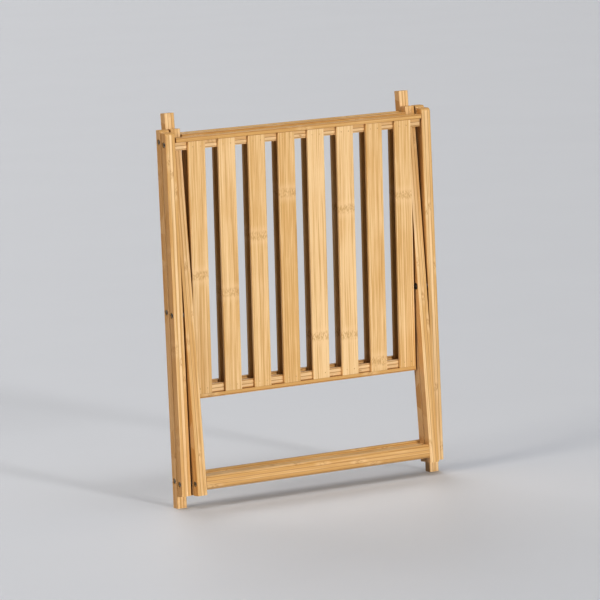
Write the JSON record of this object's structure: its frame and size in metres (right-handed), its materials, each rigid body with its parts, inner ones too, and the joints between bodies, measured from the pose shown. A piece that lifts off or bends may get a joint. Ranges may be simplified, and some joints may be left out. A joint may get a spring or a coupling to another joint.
{
  "type": "folding slatted shelf",
  "caption": "Slatted bamboo shelf with an upper and a lower deck on scissor legs, folded flat for storage.",
  "frame": {"origin": "middle of the bounding box's base, on the floor under the folded shelf's outer legs", "axes": "+X to the right across the shelf, +Z up along the folded legs, -Y towards the upper deck; in use the unfolded shelf is turned so that -Y is up"},
  "size_m": [0.43, 0.0582, 0.5479],
  "materials": {
    "leg_bamboo": "satin lacquered laminated bamboo, grain along the leg",
    "slat_bamboo": "satin lacquered bamboo strip with knuckle marks, grain along the slat",
    "rail_bamboo": "satin lacquered laminated bamboo, grain along the rail",
    "bar_bamboo": "satin lacquered bamboo with rounded edges, grain along the bar",
    "steel": "zinc plated steel"
  },
  "bodies": {
    "lower_deck": {"lower_deck_slat_1": "slat_bamboo", "lower_deck_slat_2": "slat_bamboo", "lower_deck_slat_3": "slat_bamboo", "lower_deck_slat_4": "slat_bamboo", "lower_deck_slat_5": "slat_bamboo", "lower_deck_slat_6": "slat_bamboo", "lower_deck_slat_7": "slat_bamboo", "lower_deck_slat_8": "slat_bamboo", "lower_deck_hinge_rail": "rail_bamboo", "lower_deck_end_rail": "rail_bamboo", "lower_deck_brads": "steel", "lower_deck_pivot_bolts": "steel"},
    "lower_outer_legs": {"lower_outer_leg_left": "leg_bamboo", "lower_outer_leg_right": "leg_bamboo", "lower_outer_foot_bar": "bar_bamboo", "lower_outer_foot_screws": "steel", "lower_scissor_bolts": "steel", "lower_scissor_nuts": "steel", "lower_hinge_washers": "steel", "lower_scissor_washers": "steel"},
    "lower_inner_legs": {"lower_inner_leg_left": "leg_bamboo", "lower_inner_leg_right": "leg_bamboo", "lower_inner_foot_bar": "bar_bamboo", "lower_inner_foot_screws": "steel", "lower_rest_bar": "bar_bamboo", "tier_pivot_bolts": "steel", "tier_pivot_washers": "steel"},
    "upper_inner_legs": {"upper_inner_leg_left": "leg_bamboo", "upper_inner_leg_right": "leg_bamboo", "upper_rest_bar": "bar_bamboo", "upper_rest_bar_screws": "steel"},
    "upper_outer_legs": {"upper_outer_leg_left": "leg_bamboo", "upper_outer_leg_right": "leg_bamboo", "upper_scissor_bolts": "steel", "upper_scissor_nuts": "steel", "upper_scissor_washers": "steel"},
    "upper_deck": {"upper_deck_slat_1": "slat_bamboo", "upper_deck_slat_2": "slat_bamboo", "upper_deck_slat_3": "slat_bamboo", "upper_deck_slat_4": "slat_bamboo", "upper_deck_slat_5": "slat_bamboo", "upper_deck_slat_6": "slat_bamboo", "upper_deck_slat_7": "slat_bamboo", "upper_deck_slat_8": "slat_bamboo", "upper_deck_hinge_rail": "rail_bamboo", "upper_deck_end_rail": "rail_bamboo", "upper_deck_brads": "steel", "upper_deck_pivot_bolts": "steel"}
  },
  "joints": [
    {"name": "unfold", "type": "hinge", "parent": "lower_deck", "child": "lower_outer_legs", "pos_m": [0, 0.00651, 0.51], "axis": [1, 0, 0], "range_deg": [0, 47.5]},
    {"name": "lower_scissor", "type": "hinge", "parent": "lower_outer_legs", "child": "lower_inner_legs", "pos_m": [0, 0.00651, 0.274], "axis": [1, 0, 0], "range_deg": [-82.17, 0]},
    {"name": "tier_link", "type": "hinge", "parent": "lower_deck", "child": "upper_inner_legs", "pos_m": [0, 0.00651, 0.51], "axis": [1, 0, 0], "range_deg": [-34.67, 0]},
    {"name": "upper_scissor", "type": "hinge", "parent": "upper_inner_legs", "child": "upper_outer_legs", "pos_m": [0, -0.00779, 0.27093], "axis": [1, 0, 0], "range_deg": [0, 82.17]},
    {"name": "upper_deck_hinge", "type": "hinge", "parent": "upper_outer_legs", "child": "upper_deck", "pos_m": [0, -0.00779, 0.50693], "axis": [1, 0, 0], "range_deg": [-47.5, 0]}
  ],
  "couplings": [
    {"joint": "lower_scissor", "follows": "unfold", "ratio": -1.73},
    {"joint": "tier_link", "follows": "unfold", "ratio": -0.73},
    {"joint": "upper_scissor", "follows": "unfold", "ratio": 1.73},
    {"joint": "upper_deck_hinge", "follows": "unfold", "ratio": -1}
  ]
}
